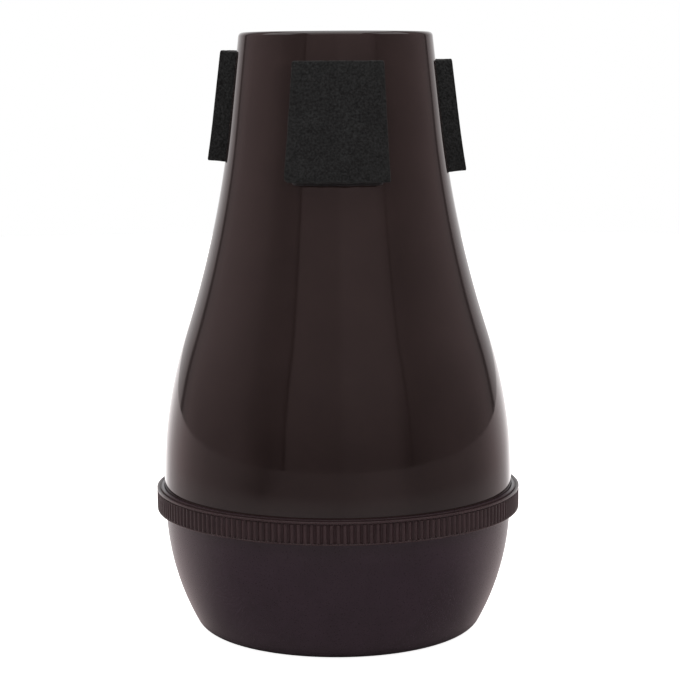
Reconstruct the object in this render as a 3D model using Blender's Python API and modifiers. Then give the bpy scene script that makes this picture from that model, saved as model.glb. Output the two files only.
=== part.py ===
"""Trombone straight mute.

A hollow moulded cone, open at the throat, stands on a cup that closes its wide end. The cone's foot steps
in to a spigot with a coarse right-hand thread. It screws down into the cup's socket, onto a thin washer.
A band with fine upright ribs is bonded round the socket, as the grip for unscrewing. Three foam pads on the
neck, each on its film of adhesive, wedge in the bell and leave air gaps between them.

Metres, +Z up. The origin is the centre of the base, on the axis of the thread.
"""

import math

import bpy

# Overall size
HEIGHT = 0.1760
WALL = 0.0020
CLEARANCE = 0.0003
ROUND_STEPS = 64

# Cone: belly arc, hollow waist arc, then a straight taper up to the rim
FOOT_RADIUS = 0.0517
BELLY_Z = 0.0441
BELLY_ARC = 0.1430
WAIST_Z = 0.0891
WAIST_ARC = 0.3000
TAPER_ANGLE = math.radians(6.37)
BELLY_SPANS = 6
WAIST_SPANS = 4

# Cup: base edge arc and side arc, which stands upright at its widest
BASE_EDGE = 0.0052
SIDE_ARC = 0.0730
SIDE_WIDEST_Z = 0.0376
SIDE_WIDEST = 0.05137
SIDE_SPANS = 6
RECESS_RADIUS = 0.0330
RECESS_DEPTH = 0.0008
FLOOR_Z = 0.0028

# Ribbed band round the joint. It is plain above its ribs
RING_RADIUS = 0.0540
RING_LOW = 0.0360
RING_TOP = 0.0430
RING_CHAMFER = 0.0004
RIB_TOP = 0.0413
RIB_RUN_OUT = 0.0003
RIB_COUNT = 184
RIB_DEPTH = 0.0006

# Joint: socket in the cup, spigot on the cone, washer between them
SOCKET_RADIUS = 0.0527
SOCKET_TOP = 0.0429
RIM_CHAMFER = 0.0002
SPIGOT_RADIUS = 0.0485
SPIGOT_WALL = 0.0018
SPIGOT_LOW = 0.0310
SPIGOT_CHAMFER = 0.0004
WASHER_THICKNESS = 0.0008
FOOT_Z = 0.0411

# Thread: one start, right hand, round ridges half a pitch apart on the two pieces
THREAD_PITCH = 0.0040
THREAD_DEPTH = 0.0008
RIDGE_RADIUS = 0.0009
MALE_LOW = 0.0322
MALE_TURNS = 1.5
FEMALE_TURNS = 1.1
POINTS_PER_TURN = 48
RUN_OUT_POINTS = 5

# Foam pads: azimuth from +X, lowest and highest edge. Each was stuck on by hand at its own height.
PADS = {
    "front": (-89.2, 0.1338, 0.16715),
    "left": (150.0, 0.1381, 0.17045),
    "right": (30.0, 0.1347, 0.1676),
}
PAD_HALF_ANGLE = math.radians(22.3)
PAD_THICKNESS = 0.0047
FILM_THICKNESS = 0.0004
FILM_SHOWS_BELOW = 0.0006
PAD_GRID = (10, 7)
FILM_GRID = (8, 4)

BORE_RADIUS = SPIGOT_RADIUS + THREAD_DEPTH + CLEARANCE
SEAT_Z = FOOT_Z - WASHER_THICKNESS - 2 * CLEARANCE


def material(name, colour, roughness):
    """A Principled plastic, rubber or foam of one colour."""
    made = bpy.data.materials.new(name)
    made.use_nodes = True
    shader = made.node_tree.nodes["Principled BSDF"]
    shader.inputs["Base Color"].default_value = (*colour, 1.0)
    shader.inputs["Roughness"].default_value = roughness
    shader.inputs["Metallic"].default_value = 0.0
    return made


def arc(centre, radius, start, end, spans):
    """Points from the start angle to the end angle, both in radians from the outward horizontal."""
    return [
        (
            centre[0] + radius * math.cos(start + (end - start) * i / spans),
            centre[1] + radius * math.sin(start + (end - start) * i / spans),
        )
        for i in range(spans + 1)
    ]


def turned(name, profile, steps, finish, collection, closed=True):
    """A body turned round Z from a profile of (radius, height) points that runs down its outer side."""
    edges = [(i, i + 1) for i in range(len(profile) - 1)]
    if closed:
        edges.append((len(profile) - 1, 0))
    mesh = bpy.data.meshes.new(name)
    mesh.from_pydata([(r, 0.0, z) for r, z in profile], edges, [])
    made = bpy.data.objects.new(name, mesh)
    collection.objects.link(made)
    screw = made.modifiers.new("Turn", "SCREW")
    screw.steps = steps
    screw.render_steps = steps
    screw.use_merge_vertices = True
    screw.merge_threshold = 0.00001
    screw.use_smooth_shade = True
    mesh.materials.append(finish)
    return made


def as_mesh(source, name, collection):
    """The evaluated shape of an object as a plain mesh object, in the source's place."""
    bpy.context.view_layer.update()
    evaluated = source.evaluated_get(bpy.context.evaluated_depsgraph_get())
    mesh = bpy.data.meshes.new_from_object(evaluated)
    made = bpy.data.objects.new(name, mesh)
    made.matrix_world = source.matrix_world
    collection.objects.link(made)
    bpy.data.objects.remove(source)
    return made


# Outline of the cone

def waist_slope_end():
    """Height at which the hollow waist meets the straight taper."""
    start = math.asin((WAIST_Z - BELLY_Z) / BELLY_ARC)
    return WAIST_Z + WAIST_ARC * (math.sin(start) - math.sin(TAPER_ANGLE))


TAPER_Z = waist_slope_end()


def cone_slope(z):
    """Angle in radians by which the cone's outside leans in from upright at a height."""
    if z <= BELLY_Z:
        return 0.0
    if z <= WAIST_Z:
        return math.asin((z - BELLY_Z) / BELLY_ARC)
    if z <= TAPER_Z:
        return math.asin(math.sin(cone_slope(WAIST_Z)) - (z - WAIST_Z) / WAIST_ARC)
    return TAPER_ANGLE


def cone_radius(z):
    """Outer radius of the cone at a height."""
    if z <= WAIST_Z:
        return FOOT_RADIUS - BELLY_ARC * (1.0 - math.cos(cone_slope(z)))
    if z <= TAPER_Z:
        return cone_radius(WAIST_Z) - WAIST_ARC * (math.cos(cone_slope(z)) - math.cos(cone_slope(WAIST_Z)))
    return cone_radius(TAPER_Z) - (z - TAPER_Z) * math.tan(TAPER_ANGLE)


def in_wall(z, depth):
    """The outside point at height z, moved into the wall by depth. A negative depth stands off it."""
    slope = cone_slope(z)
    return cone_radius(z) - depth * math.cos(slope), z - depth * math.sin(slope)


def evenly(low, high, spans):
    """Heights from low to high in equal spans."""
    return [low + (high - low) * i / spans for i in range(spans + 1)]


def thread(name, path_radius, low, turns, collection):
    """A round ridge along a right-hand helix, thinning at both ends, as a closed mesh for a union."""
    count = round(turns * POINTS_PER_TURN)
    curve = bpy.data.curves.new(name, "CURVE")
    curve.dimensions = "3D"
    curve.bevel_depth = RIDGE_RADIUS
    curve.bevel_resolution = 2
    curve.use_fill_caps = True
    spline = curve.splines.new("POLY")
    spline.points.add(count)
    for i, point in enumerate(spline.points):
        angle = 2.0 * math.pi * i / POINTS_PER_TURN
        height = low + THREAD_PITCH * i / POINTS_PER_TURN
        point.co = (path_radius * math.cos(angle), path_radius * math.sin(angle), height, 1.0)
        from_end = min(i, count - i)
        point.radius = 0.3 + 0.7 * min(1.0, from_end / RUN_OUT_POINTS)
    ridge = bpy.data.objects.new(name, curve)
    collection.objects.link(ridge)
    ridge = as_mesh(ridge, name, collection)
    weld = ridge.modifiers.new("Close the caps", "WELD")
    weld.merge_threshold = 0.00001
    ridge.hide_render = True
    ridge.display_type = "WIRE"
    return ridge


def join(body, cutter, operation):
    """A Boolean of the body with a cutter."""
    boolean = body.modifiers.new(cutter.name, "BOOLEAN")
    boolean.operation = operation
    boolean.solver = "EXACT"
    boolean.object = cutter


# Cone and its spigot

def neck_cone(finish, parts, cutters):
    belly = evenly(BELLY_Z, WAIST_Z, BELLY_SPANS)
    waist = evenly(WAIST_Z, TAPER_Z, WAIST_SPANS)[1:]
    half = WALL / 2
    rim_z = HEIGHT - half + half * math.sin(TAPER_ANGLE)
    outside = [in_wall(z, 0.0) for z in [rim_z, *reversed(waist), *reversed(belly)]]
    spigot_inner = SPIGOT_RADIUS - SPIGOT_WALL
    foot = [
        (FOOT_RADIUS, FOOT_Z),
        (SPIGOT_RADIUS, FOOT_Z),
        (SPIGOT_RADIUS, SPIGOT_LOW + SPIGOT_CHAMFER),
        (SPIGOT_RADIUS - SPIGOT_CHAMFER, SPIGOT_LOW),
        (spigot_inner, SPIGOT_LOW),
        (spigot_inner, FOOT_Z + WALL),
    ]
    inside = [in_wall(z, WALL) for z in [*belly[1::2], *waist[1::2]]]
    inside.insert(0, in_wall(BELLY_Z + 2 * WALL, WALL))
    rim = arc(in_wall(rim_z, half), half, math.pi + TAPER_ANGLE, TAPER_ANGLE, 4)[:-1]
    body = turned("neck_cone", outside + foot + inside + rim, ROUND_STEPS, finish, parts)
    ridge = thread("spigot_thread", SPIGOT_RADIUS + THREAD_DEPTH - RIDGE_RADIUS, MALE_LOW, MALE_TURNS, cutters)
    join(body, ridge, "UNION")
    return body


# Cup and its socket

def end_cup(finish, parts, cutters):
    side_centre = (SIDE_WIDEST - SIDE_ARC, SIDE_WIDEST_Z)

    def side_angle(z, radius):
        return math.asin((z - SIDE_WIDEST_Z) / radius)

    def edge(z_low, radius, side_radius):
        """The arc that joins a flat floor at z_low to the side, as its centre and its angle at the side."""
        drop = SIDE_WIDEST_Z - z_low - radius
        reach = math.sqrt((side_radius - radius) ** 2 - drop**2)
        return (side_centre[0] + reach, z_low + radius), -math.atan2(drop, reach)

    step_z = RING_LOW + CLEARANCE
    base_centre, base_angle = edge(0.0, BASE_EDGE, SIDE_ARC)
    inner_side = SIDE_ARC - WALL
    floor_centre, floor_angle = edge(FLOOR_Z, BASE_EDGE - WALL, inner_side)
    bore_low = SPIGOT_LOW - CLEARANCE
    counterbore = FOOT_RADIUS + CLEARANCE
    bottom = math.radians(-90)
    profile = [(0.0, FLOOR_Z)]
    profile += arc(floor_centre, BASE_EDGE - WALL, bottom, floor_angle, 2)
    profile += arc(side_centre, inner_side, floor_angle, side_angle(bore_low - CLEARANCE, inner_side), 4)[1:]
    profile += [(BORE_RADIUS, bore_low), (BORE_RADIUS, SEAT_Z), (counterbore, SEAT_Z)]
    profile += [(counterbore, SOCKET_TOP - RIM_CHAMFER), (counterbore + RIM_CHAMFER, SOCKET_TOP)]
    profile += [(SOCKET_RADIUS - RIM_CHAMFER, SOCKET_TOP), (SOCKET_RADIUS, SOCKET_TOP - RIM_CHAMFER)]
    profile += [(SOCKET_RADIUS, step_z)]
    profile += arc(side_centre, SIDE_ARC, side_angle(step_z, SIDE_ARC), base_angle, SIDE_SPANS)
    profile += arc(base_centre, BASE_EDGE, base_angle, bottom, 3)[1:]
    profile += [(RECESS_RADIUS, 0.0), (RECESS_RADIUS - RECESS_DEPTH, RECESS_DEPTH), (0.0, RECESS_DEPTH)]
    body = turned("end_cup", profile, ROUND_STEPS, finish, parts, closed=False)
    ridge = thread(
        "socket_thread",
        BORE_RADIUS - THREAD_DEPTH + RIDGE_RADIUS,
        MALE_LOW + THREAD_PITCH / 2,
        FEMALE_TURNS,
        cutters,
    )
    join(body, ridge, "UNION")
    return body


# Ribbed band

def knurled_ring(finish, parts):
    """A turned ring with two columns of faces to each rib. Every other column edge is pulled in up to RIB_TOP."""
    bore = SOCKET_RADIUS + CLEARANCE
    profile = [
        (RING_RADIUS - RING_CHAMFER, RING_TOP),
        (RING_RADIUS, RING_TOP - RING_CHAMFER),
        (RING_RADIUS, RIB_TOP + RIB_RUN_OUT),
        (RING_RADIUS, RIB_TOP),
        (RING_RADIUS, RING_LOW + RING_CHAMFER),
        (RING_RADIUS - RING_CHAMFER, RING_LOW),
        (bore, RING_LOW),
        (bore, RING_TOP),
    ]
    blank = turned("ring_blank", profile, 2 * RIB_COUNT, finish, parts)
    ring = as_mesh(blank, "knurled_ring", parts)
    half_pitch = math.pi / RIB_COUNT
    root = RING_RADIUS - RIB_DEPTH
    for vertex in ring.data.vertices:
        column = round(math.atan2(vertex.co.y, vertex.co.x) / half_pitch)
        if column % 2 and vertex.co.xy.length > root and vertex.co.z < RIB_TOP + RIB_RUN_OUT / 2:
            vertex.co.xy = vertex.co.xy.normalized() * root
    return ring


def sealing_washer(finish, parts):
    low = SEAT_Z + CLEARANCE
    inner = BORE_RADIUS - CLEARANCE / 2
    profile = [
        (FOOT_RADIUS, low + WASHER_THICKNESS),
        (FOOT_RADIUS, low),
        (inner, low),
        (inner, low + WASHER_THICKNESS),
    ]
    return turned("sealing_washer", profile, ROUND_STEPS, finish, parts)


# Foam pads and their adhesive, each bent round the cone at the azimuth of +X and then turned into place

def wrapped(name, low, high, standoff, thickness, grid, azimuth, finish, parts):
    across, up = grid
    points = []
    for j in range(up + 1):
        radius, z = in_wall(low + (high - low) * j / up, -standoff)
        for i in range(across + 1):
            angle = PAD_HALF_ANGLE * (2.0 * i / across - 1.0)
            points.append((radius * math.cos(angle), radius * math.sin(angle), z))
    row = across + 1
    faces = [
        (j * row + i, j * row + i + 1, (j + 1) * row + i + 1, (j + 1) * row + i)
        for j in range(up)
        for i in range(across)
    ]
    mesh = bpy.data.meshes.new(name)
    mesh.from_pydata(points, [], faces)
    made = bpy.data.objects.new(name, mesh)
    parts.objects.link(made)
    made.rotation_euler = (0.0, 0.0, math.radians(azimuth))
    solidify = made.modifiers.new("Thickness", "SOLIDIFY")
    solidify.thickness = thickness
    solidify.offset = 1.0
    mesh.materials.append(finish)
    return made


def pads(foam, film, parts):
    """Each pad and the film under it. The film's lower edge shows below the pad."""
    made = []
    for side, (azimuth, low, high) in PADS.items():
        film_low = low - FILM_SHOWS_BELOW
        film_name = f"pad_adhesive_{side}"
        over_film = FILM_THICKNESS + 2 * CLEARANCE
        made.append(
            wrapped(film_name, film_low, high, CLEARANCE, FILM_THICKNESS, FILM_GRID, azimuth, film, parts)
        )
        made.append(
            wrapped(f"pad_{side}", low, high, over_film, PAD_THICKNESS, PAD_GRID, azimuth, foam, parts)
        )
    return made


def main():
    for old in list(bpy.data.objects):
        bpy.data.objects.remove(old)
    parts = bpy.data.collections.new("Trombone straight mute")
    cutters = bpy.data.collections.new("Cutters")
    bpy.context.scene.collection.children.link(parts)
    bpy.context.scene.collection.children.link(cutters)

    gloss = material("Gloss black ABS", (0.022, 0.017, 0.016), 0.18)
    satin = material("Satin black ABS", (0.026, 0.020, 0.022), 0.45)
    ribbed = material("Ribbed black ABS", (0.024, 0.018, 0.018), 0.35)
    rubber = material("Black rubber", (0.015, 0.015, 0.015), 0.8)
    foam = material("Charcoal foam", (0.012, 0.013, 0.013), 0.95)
    film = material("Adhesive film", (0.008, 0.008, 0.009), 0.5)

    end_cup(satin, parts, cutters)
    knurled_ring(ribbed, parts)
    sealing_washer(rubber, parts)

    axis = bpy.data.objects.new("thread_axis", None)
    parts.objects.link(axis)
    for piece in [neck_cone(gloss, parts, cutters), *pads(foam, film, parts)]:
        piece.parent = axis


main()
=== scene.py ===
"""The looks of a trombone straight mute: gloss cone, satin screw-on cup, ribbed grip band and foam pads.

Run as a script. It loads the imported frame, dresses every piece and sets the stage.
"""

import math

import bpy
from mathutils import Matrix, Vector, noise


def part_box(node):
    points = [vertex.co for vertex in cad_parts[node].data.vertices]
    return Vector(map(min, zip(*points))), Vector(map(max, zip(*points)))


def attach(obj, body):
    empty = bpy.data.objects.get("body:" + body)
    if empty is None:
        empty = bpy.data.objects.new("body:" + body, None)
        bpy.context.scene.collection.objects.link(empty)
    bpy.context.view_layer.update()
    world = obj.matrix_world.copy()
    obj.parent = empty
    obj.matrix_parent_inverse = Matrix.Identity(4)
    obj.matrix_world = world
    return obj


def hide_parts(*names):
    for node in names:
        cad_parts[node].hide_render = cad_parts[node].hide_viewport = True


bl_info = {
    "name": "Trombone Straight Mute",
    "version": (1, 0, 0),
    "blender": (4, 5, 0),
    "location": "View3D > Sidebar > Mute",
    "description": "Builds the dressed pieces of a trombone straight mute and its studio stage",
    "category": "Add Mesh",
}

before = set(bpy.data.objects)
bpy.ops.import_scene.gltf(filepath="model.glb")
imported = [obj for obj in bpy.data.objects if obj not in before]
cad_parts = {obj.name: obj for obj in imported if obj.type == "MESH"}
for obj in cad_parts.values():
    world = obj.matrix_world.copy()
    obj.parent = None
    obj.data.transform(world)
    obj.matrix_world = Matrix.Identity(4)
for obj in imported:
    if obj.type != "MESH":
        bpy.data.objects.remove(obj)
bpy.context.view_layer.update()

MM = 0.001
CONE_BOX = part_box("neck_cone")
CUP_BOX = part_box("end_cup")
RING_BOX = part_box("knurled_ring")
WASHER_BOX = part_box("sealing_washer")

# Cone: belly arc, hollow waist arc, straight taper, round rim that is fuller on its outer side
HEIGHT = CONE_BOX[1].z
WALL = 2.0 * MM
FOOT_RADIUS = CONE_BOX[1].x
FOOT_Z = 41.1 * MM
FOOT_UPRIGHT = 1.5 * MM
FOOT_EDGE = 0.25 * MM
BELLY_Z = 44.1 * MM
BELLY_ARC = 143.0 * MM
WAIST_Z = 89.1 * MM
WAIST_ARC = 300.0 * MM
TAPER_ANGLE = math.radians(6.37)
RIM_OUTER_ROUND = 1.3 * MM

# Painted light that makes the foot's skin paler next to the band: its upper end, how softly it ends, and how
# much paler it is
PAINTED_LIGHT_TOP_Z = 43.2 * MM
PAINTED_LIGHT_FADE = 0.1 * MM
PAINTED_LIGHT_FACTOR = 2.7

# Cup: base edge arc, side arc, recess under the base, floor inside, and the step and mouth by the band
BASE_EDGE = 5.2 * MM
SIDE_ARC = 73.0 * MM
SIDE_WIDEST_Z = 37.6 * MM
SIDE_WIDEST = 51.37 * MM
RECESS_RADIUS = 33.0 * MM
RECESS_DEPTH = 0.8 * MM
RECESS_EDGE = 0.3 * MM
CUP_FLOOR_Z = 2.8 * MM
CUP_STEP = 0.3 * MM
CUP_MOUTH_GAP = 0.15 * MM
CUP_EDGE = 0.08 * MM

# Joint: spigot with its chamfer's width and height, bore, seat, and the thread's ridges on both
SOCKET_RADIUS = CUP_BOX[1].x
SOCKET_TOP = CUP_BOX[1].z
SPIGOT_RADIUS = 48.5 * MM
SPIGOT_INNER = 46.7 * MM
SPIGOT_LOW = CONE_BOX[0].z
SPIGOT_CHAMFER = (0.35 * MM, 0.4 * MM)
SPIGOT_INNER_CHAMFER = 0.2 * MM
SEAT_Z = WASHER_BOX[0].z - 0.3 * MM
BORE_RADIUS = 49.6 * MM
BORE_LOW = SPIGOT_LOW - 0.3 * MM
THREAD_PITCH = 4.0 * MM
THREAD_DEPTH = 0.8 * MM
THREAD_ROWS = 44
RIDGE_HALF_WIDTH = 1.0 * MM
RIDGE_FULLNESS = 0.6
RIDGE_RUN_OUT_TURNS = 0.1
MALE_LOW = 32.2 * MM
MALE_TURNS = 1.5
FEMALE_LOW = 34.2 * MM
FEMALE_TURNS = 1.1
WASHER_LAP = 0.15 * MM
WASHER_EDGE = 0.12 * MM

# Band: a thin inner rim, a groove at its foot, a lower shoulder, a thin line over the ribs, and a round lip
RIB_TOP = 41.85 * MM
RIB_LOW = 36.45 * MM
RIB_RUN_OUT = 0.1 * MM
RIB_COLUMNS = 12
RIB_ROUNDNESS = 1.3
BAND_RIM_WIDTH = 0.3 * MM
BAND_GROOVE_WIDTH = 0.2 * MM
BAND_GROOVE_Z = 42.38 * MM
BAND_SHOULDER_Z = 42.6 * MM
BAND_SHOULDER_ROUND = 0.1 * MM
BAND_LINE_TOP = 42.08 * MM
BAND_LINE_DEPTH = 0.32 * MM
BAND_EDGE = 0.06 * MM
LIP_INSET = 0.05 * MM
LIP_NOTCH = 0.1 * MM
LIP_EDGE = 0.1 * MM
BONDED_GAP = 0.02 * MM

# Pads: azimuth in degrees from +X, lean in degrees, sizes of the lower corners' cuts in mm, shares of the
# width at the lower and the upper edge, and how far the adhesive film shows below the foam. The outer face
# swells out towards its lower edge and in towards the upper one, and its lower edge overhangs.
PAD_PLACES = {
    "front": (-89.2, -0.9, (1.7, 0.7), (1.008, 0.980), 0.6 * MM),
    "left": (150.0, 0.0, (0.8, 0.8), (1.0, 1.0), 0.5 * MM),
    "right": (30.0, 0.0, (0.8, 0.8), (1.0, 1.0), 0.5 * MM),
}
PAD_HALF_ANGLE = math.radians(22.3)
PAD_STANDOFF = 0.45 * MM
CAD_FOAM_STANDOFF = 1.0 * MM
PAD_OUTSIDE = 5.7 * MM
PAD_SWELL = 0.22 * MM
PAD_OVERHANG = 0.45 * MM
FILM_STANDOFF = 0.03 * MM
FILM_OUTSIDE = 0.42 * MM
FILM_ROUND = (0.08 * MM, 0.1 * MM)

# Cut foam. Its sides, from the film outwards: how far they draw in, in mm, at shares of the thickness. Its
# edges: waves and nicks, each as how many to the metre and a depth in mm, full near the lower edge only.
FOAM_SIDES = ((0.10, 0.0), (0.0, 0.12), (0.07, 0.35), (0.08, 0.6))
FOAM_BROW = 0.03 * MM
CUT_WAVES = (260.0, 0.22)
CUT_NICKS = (1100.0, 0.12)
CUT_LOWER = 1.5 * MM
CUT_CALM = 0.35
CUT_STEP = 0.5 * MM
FACE_RINGS = (0.9, 0.75, 0.55, 0.3)

# Patterns in the finishes, at their real sizes. Only the grains are drawn coarser: in the real plastic and
# rubber they are about 0.1 mm, too fine to show.
GLOSS_PATCH = 14.0 * MM
GLOSS_RIPPLE = 9.0 * MM
GLOSS_MARK = 0.9 * MM
SATIN_PATCH = 11.0 * MM
SATIN_GRAIN = 0.35 * MM
RIBBED_PATCH = 6.0 * MM
RIBBED_GRAIN = 0.4 * MM
FOAM_PATCH = 7.0 * MM
FOAM_CELL = 0.62 * MM
FILM_SPECK = 0.6 * MM
RUBBER_BLOOM = 3.0 * MM
RUBBER_GRAIN = 0.3 * MM
NOISE_SPAN = {"From Min": 0.3, "From Max": 0.7}

# Camera: the lens and the place that the outline in the photograph gives
PHOTO_SIDE = 680
LENS_PIXELS = 2010.0
SENSOR = 36.0
CAMERA_PLACE = Vector((0.0, -591.4, 167.1)) * MM
CAMERA_PITCH = math.radians(7.85)
CAMERA_ROLL = math.radians(0.31)
AXIS_PIXEL_X = 337.15

# Soft lights, all at one distance: degrees from the camera's side, elevation, width, height, radiance
KEY_DISTANCE = 1.6
KEYS = {
    "front_key": (0.0, 46.0, 1.6, 0.7, 1.1),
    "left_key": (-80.0, 42.0, 1.2, 0.8, 1.6),
    "right_key": (80.0, 42.0, 1.2, 0.8, 1.5),
    "top_light": (180.0, 88.0, 1.6, 1.7, 2.5),
}

# Soft-edged spots that lift the neck: degrees from the camera's side, elevation, distance, height aimed at,
# width of the beam in degrees, watts, radius
NECK_LIGHTS = {
    "neck_left": (-50.0, 8.0, 1.2, 0.195, 13.3, 29.0, 0.05),
    "neck_right": (30.0, 8.0, 1.2, 0.195, 13.3, 31.0, 0.05),
}

# Surround: (degrees from the camera's side, radiance). The strip stands at the horizon and passes into the
# wall between two heights, and both are the same on the left and the right. Seams scale the two, with right
# as plus, and dim them at the gaps between panels.
STRIP_LEVELS = (
    (0, 0.22), (38, 0.23), (46, 0.12), (54, 0.14), (68, 0.21), (90, 0.23), (120, 0.30), (129, 0.23),
    (131, 0.10), (134, 0.10), (136, 0.42), (150, 0.70), (180, 0.85),
)
WALL_LEVELS = (
    (0, 0.36), (40, 0.35), (50, 0.24), (60, 0.22), (70, 0.25), (80, 0.30), (90, 0.35), (100, 0.40),
    (112, 0.42), (129, 0.31), (131, 0.10), (134, 0.10), (136, 0.42), (150, 0.70), (165, 0.88), (180, 1.00),
)
SEAMS = (
    (-180, 1.1), (-110, 1.08), (-92, 1.2), (-70, 1.2), (-52, 0.8), (-37, 0.45), (-36, 0.2), (-35, 0.2),
    (-33.5, 0.82), (0, 0.8), (6, 1.0), (47.5, 1.0), (48.5, 0.5), (49.5, 0.5), (50.5, 0.98), (65, 1.0),
    (90, 1.05), (120, 1.05), (180, 1.14),
)
STRIP_LOW = math.sin(math.radians(1.0))
STRIP_HIGH = math.sin(math.radians(21.0))
HIGH_DIM = 0.8
LEFT_EXTRA = 0.06

# Floor, as reflections see it at three distances from the mute. Near and middle are the same on the left
# and the right, and far has right as plus. A painted shadow darkens the patch that the mute stands on.
NEAR_LEVELS = (
    (0, 0.23), (40, 0.22), (55, 0.23), (65, 0.29), (75, 0.41), (85, 0.53), (100, 0.69), (120, 0.83),
    (150, 1.60), (180, 3.0),
)
MIDDLE_LEVELS = (
    (0, 0.43), (20, 0.48), (38, 0.47), (46, 0.45), (58, 0.45), (68, 0.46), (90, 0.48), (105, 0.55),
    (120, 0.68), (134, 0.95), (150, 1.8), (180, 2.9),
)
FAR_LEVELS = (
    (-180, 1.7), (-150, 1.45), (-134, 0.88), (-120, 0.62), (-105, 0.46), (-90, 0.37), (-75, 0.33),
    (-65, 0.29), (-55, 0.20), (-48, 0.14), (-42, 0.18), (-35, 0.24), (0, 0.27), (12, 0.31), (20, 0.34),
    (38, 0.34), (44, 0.28), (55, 0.26), (65, 0.28), (75, 0.30), (90, 0.33), (105, 0.41), (120, 0.58),
    (134, 0.92), (150, 1.4), (180, 1.6),
)
NEAR_FLOOR = 0.1
MIDDLE_FLOOR = 0.24
FAR_FLOOR = 0.38
SHADOW_PATCH_REACH = (0.040, 0.044)
SHADOW_PATCH_LEVEL = 0.1

# Extra red in what reflections see, which fades out over the last degrees towards the back
WALL_WARMTH = 0.36
CLOSE_WARMTH = 0.20
FAR_WARMTH = 0.31
WARMTH_FADE = 64.0

FLOOR_RADIUS = 1.4
FLOOR_SIDES = 96
FLOOR_DROP = 0.05 * MM
FLOOR_PAPER = (0.75, 0.75, 0.75, 1.0)
FLOOR_GLOW = 0.93
WHITE = (1.0, 1.0, 1.0, 1.0)


def linear(hex_colour):
    """An sRGB hex colour as linear red, green and blue."""
    channels = [int(hex_colour[i : i + 2], 16) / 255 for i in (1, 3, 5)]
    return [c / 12.92 if c <= 0.04045 else ((c + 0.055) / 1.055) ** 2.4 for c in channels]


def colour_property(name, hex_colour, description):
    """A colour for the panel, with its default in hex."""
    return bpy.props.FloatVectorProperty(
        name=name,
        description=description,
        default=linear(hex_colour),
        subtype="COLOR",
        size=3,
        min=0.0,
        max=1.0,
    )


def length_property(name, value, description):
    """A length for the panel, with its default in metres."""
    return bpy.props.FloatProperty(
        name=name,
        description=description,
        default=value,
        subtype="DISTANCE",
        unit="LENGTH",
        precision=5,
    )


class MuteShapeSettings(bpy.types.PropertyGroup):
    """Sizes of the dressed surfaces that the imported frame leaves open."""

    columns: bpy.props.IntProperty(
        name="Columns", description="Faces round each turned piece", default=224, min=32, max=512
    )
    rib_count: bpy.props.IntProperty(
        name="Ribs", description="Upright ribs round the grip band", default=184, min=24, max=400
    )
    rib_depth: length_property("Rib depth", 0.6 * MM, "From a rib's crest to the groove beside it")
    pad_corner: length_property("Pad corner", 0.9 * MM, "Radius of the foam pads' upper corners")
    pad_edge: length_property("Pad edge", 0.4 * MM, "Rounding of the foam pads' outer edges")


class MuteColourSettings(bpy.types.PropertyGroup):
    """Colours of the finishes, as sRGB swatches of the real materials."""

    cone: colour_property("Cone", "#1d1615", "Gloss black ABS with a warm cast")
    cup: colour_property("Cup", "#291d27", "Satin black ABS with a faint plum cast")
    band: colour_property("Grip band", "#342729", "Ribbed black ABS")
    foam: colour_property("Foam", "#141515", "Charcoal closed-cell foam")
    film: colour_property("Adhesive film", "#1f1f20", "Black double-sided adhesive film")
    washer: colour_property("Washer", "#18181a", "Black rubber washer")


# Materials

def add_node(tree, kind, inputs=None, **settings):
    """Adds a node, sets its properties, and sets or links its inputs. A node given as an input stands for
    its first output."""
    node = tree.nodes.new(kind)
    for key, value in settings.items():
        setattr(node, key, value)
    for name, value in (inputs or {}).items():
        if isinstance(value, bpy.types.Node):
            value = value.outputs[0]
        if isinstance(value, bpy.types.NodeSocket):
            tree.links.new(value, node.inputs[name])
        else:
            node.inputs[name].default_value = value
    return node


def new_material(name):
    """A material with an empty tree, and the place on the piece in metres as a socket."""
    material = bpy.data.materials.new(name)
    material.use_nodes = True
    tree = material.node_tree
    tree.nodes.clear()
    return material, tree, add_node(tree, "ShaderNodeTexCoord").outputs["Object"]


def shaded(colour, factor):
    """A colour made lighter or darker, with the alpha that a socket wants."""
    return (*[c * factor for c in colour], 1.0)


def mottled(tree, place, colour, patch, darkest, palest, detail=2.0):
    """The colour in patches of a size, between two factors, and the patches' share from 0 to 1."""
    cloud = add_node(tree, "ShaderNodeTexNoise", {"Vector": place, "Scale": 1.0 / patch, "Detail": detail})
    share = add_node(tree, "ShaderNodeMapRange", {"Value": cloud, **NOISE_SPAN})
    shades = {0: share, 6: shaded(colour, darkest), 7: shaded(colour, palest)}
    return add_node(tree, "ShaderNodeMix", shades, data_type="RGBA").outputs[2], share


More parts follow.
